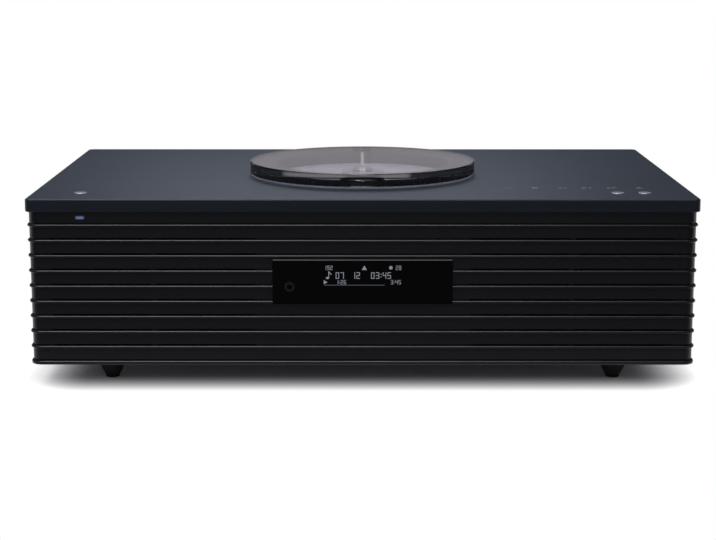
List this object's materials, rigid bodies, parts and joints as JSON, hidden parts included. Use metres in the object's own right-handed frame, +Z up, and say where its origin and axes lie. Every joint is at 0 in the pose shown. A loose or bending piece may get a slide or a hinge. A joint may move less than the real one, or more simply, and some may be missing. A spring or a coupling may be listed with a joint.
{
  "type": "all-in-one stereo system",
  "caption": "Low finned stereo cabinet with a thick metal top, a round clear lid that swings aside from a disc well, a front display window, inner speakers and conical feet.",
  "frame": {"origin": "on the table, under the middle of the cabinet", "axes": "+X to the right along the width, +Y to the back, +Z up; the display faces -Y"},
  "size_m": [0.45, 0.28, 0.143],
  "materials": {
    "shell_plastic": "satin moulded fins",
    "plate_metal": "hairline brushed, dark anodised",
    "base_metal": "matt powder coat",
    "rear_plastic": "fine spark texture",
    "baffle_board": "stained fibre board",
    "grille_cloth": "fine black weave",
    "window_gloss": "polished",
    "display_glass": "dark display glass",
    "jack_plastic": "moulded",
    "lamp_clear": "lit blue light guide",
    "circuit_green": "solder resist",
    "circuit_tan": "bare laminate",
    "well_metal": "satin",
    "post_steel": "turned",
    "chassis_metal": "black zinc",
    "damper_rubber": "soft",
    "motor_metal": "drawn can",
    "rod_steel": "ground",
    "frame_metal": "pressed",
    "magnet_ferrite": "ferrite and iron",
    "surround_rubber": "soft roll",
    "cone_paper": "pressed paper",
    "dome_metal": "thin foil dome",
    "tweeter_plastic": "moulded",
    "port_plastic": "moulded",
    "sink_metal": "black anodised",
    "winding": "taped winding",
    "socket_plastic": "moulded",
    "socket_metal": "tinned can",
    "foot_plastic": "satin",
    "pad_rubber": "soft",
    "screw_steel": "black zinc",
    "lid_clear": "polished clear acrylic",
    "bush_metal": "turned",
    "cap_metal": "polished",
    "hub_plastic": "moulded",
    "ball_steel": "ground",
    "sled_plastic": "moulded",
    "lens_glass": "coated",
    "gear_plastic": "acetal",
    "button_metal": "satin"
  },
  "bodies": {
    "cabinet": {"cabinet_shell": "shell_plastic", "top_plate": "plate_metal", "bottom_plate": "base_metal", "rear_panel": "rear_plastic", "front_baffle": "baffle_board", "grille_cloth": "grille_cloth", "display_window": "window_gloss", "display_module": "display_glass", "headphone_jack": "jack_plastic", "power_lamp": "lamp_clear", "touch_board": "circuit_green", "power_switch_board": "circuit_green", "disc_well": "well_metal", "pivot_post": "post_steel", "mech_chassis": "chassis_metal", "mech_dampers": "damper_rubber", "spindle_motor": "motor_metal", "guide_rods": "rod_steel", "sled_motor": "motor_metal", "woofer_frames": "frame_metal", "woofer_magnets": "magnet_ferrite", "woofer_surround_left": "surround_rubber", "woofer_surround_right": "surround_rubber", "tweeter_bodies": "tweeter_plastic", "tweeter_lenses": "tweeter_plastic", "subwoofer_frame": "frame_metal", "subwoofer_magnet": "magnet_ferrite", "subwoofer_surround": "surround_rubber", "bass_port": "port_plastic", "main_board": "circuit_green", "heat_sink": "sink_metal", "power_board": "circuit_tan", "transformer": "winding", "ac_inlet": "socket_plastic", "lan_socket": "socket_metal", "usb_socket": "socket_metal", "optical_socket": "socket_plastic", "aux_jack": "jack_plastic", "antenna_terminal": "post_steel", "feet": "foot_plastic", "foot_pads": "pad_rubber", "case_screws": "screw_steel"},
    "lid": {"lid_disc": "lid_clear", "lid_bush": "bush_metal", "lid_cap": "cap_metal"},
    "turntable": {"turntable_hub": "hub_plastic", "chuck_balls": "ball_steel"},
    "pickup": {"pickup_sled": "sled_plastic", "pickup_lens": "lens_glass"},
    "reduction_gear": {"sled_gear": "gear_plastic"},
    "drive_pinion": {"motor_pinion": "gear_plastic"},
    "power_key": {"power_button": "button_metal"},
    "volume_down_key": {"volume_down_button": "button_metal"},
    "volume_up_key": {"volume_up_button": "button_metal"},
    "left_cone": {"woofer_cone_left": "cone_paper"},
    "right_cone": {"woofer_cone_right": "cone_paper"},
    "bass_cone": {"subwoofer_cone": "cone_paper"},
    "left_dome": {"tweeter_dome_left": "dome_metal"},
    "right_dome": {"tweeter_dome_right": "dome_metal"}
  },
  "joints": [
    {"name": "lid_swing", "type": "hinge", "parent": "cabinet", "child": "lid", "pos_m": [0, 0.065, 0.133], "axis": [0, 0, 1], "range_deg": [0, 155]},
    {"name": "turntable_spin", "type": "hinge", "parent": "cabinet", "child": "turntable", "pos_m": [0, -0.008, 0.133], "axis": [0, 0, 1], "continuous": true},
    {"name": "pickup_slide", "type": "slide", "parent": "cabinet", "child": "pickup", "axis": [1, 0, 0], "range_m": [0, 0.035]},
    {"name": "reduction_gear_spin", "type": "hinge", "parent": "cabinet", "child": "reduction_gear", "pos_m": [0.045, -0.0401, 0.1165], "axis": [0, 0, 1], "range_deg": [-419, 1]},
    {"name": "drive_pinion_spin", "type": "hinge", "parent": "cabinet", "child": "drive_pinion", "pos_m": [0.03, -0.0401, 0.1165], "axis": [0, 0, 1], "range_deg": [-4, 1676]},
    {"name": "power_press", "type": "slide", "parent": "cabinet", "child": "power_key", "axis": [0, 0, -1], "range_m": [0, 0.0006], "stiffness_N_per_m": 2000},
    {"name": "volume_down_press", "type": "slide", "parent": "cabinet", "child": "volume_down_key", "axis": [0, 0, -1], "range_m": [0, 0.0006], "stiffness_N_per_m": 2000},
    {"name": "volume_up_press", "type": "slide", "parent": "cabinet", "child": "volume_up_key", "axis": [0, 0, -1], "range_m": [0, 0.0006], "stiffness_N_per_m": 2000},
    {"name": "left_cone_travel", "type": "slide", "parent": "cabinet", "child": "left_cone", "axis": [0, -1, 0], "range_m": [-0.002, 0.002], "stiffness_N_per_m": 600, "deforming": ["woofer_surround_left"]},
    {"name": "right_cone_travel", "type": "slide", "parent": "cabinet", "child": "right_cone", "axis": [0, -1, 0], "range_m": [-0.002, 0.002], "stiffness_N_per_m": 600, "deforming": ["woofer_surround_right"]},
    {"name": "bass_cone_travel", "type": "slide", "parent": "cabinet", "child": "bass_cone", "axis": [0, 0, -1], "range_m": [-0.004, 0.004], "stiffness_N_per_m": 800, "deforming": ["subwoofer_surround"]},
    {"name": "left_dome_travel", "type": "slide", "parent": "cabinet", "child": "left_dome", "axis": [0, -1, 0], "range_m": [-0.0003, 0.0003], "stiffness_N_per_m": 200},
    {"name": "right_dome_travel", "type": "slide", "parent": "cabinet", "child": "right_dome", "axis": [0, -1, 0], "range_m": [-0.0003, 0.0003], "stiffness_N_per_m": 200}
  ],
  "couplings": [
    {"joint": "reduction_gear_spin", "follows": "pickup_slide", "rad_per_m": -208.33},
    {"joint": "drive_pinion_spin", "follows": "pickup_slide", "rad_per_m": 833.33}
  ]
}
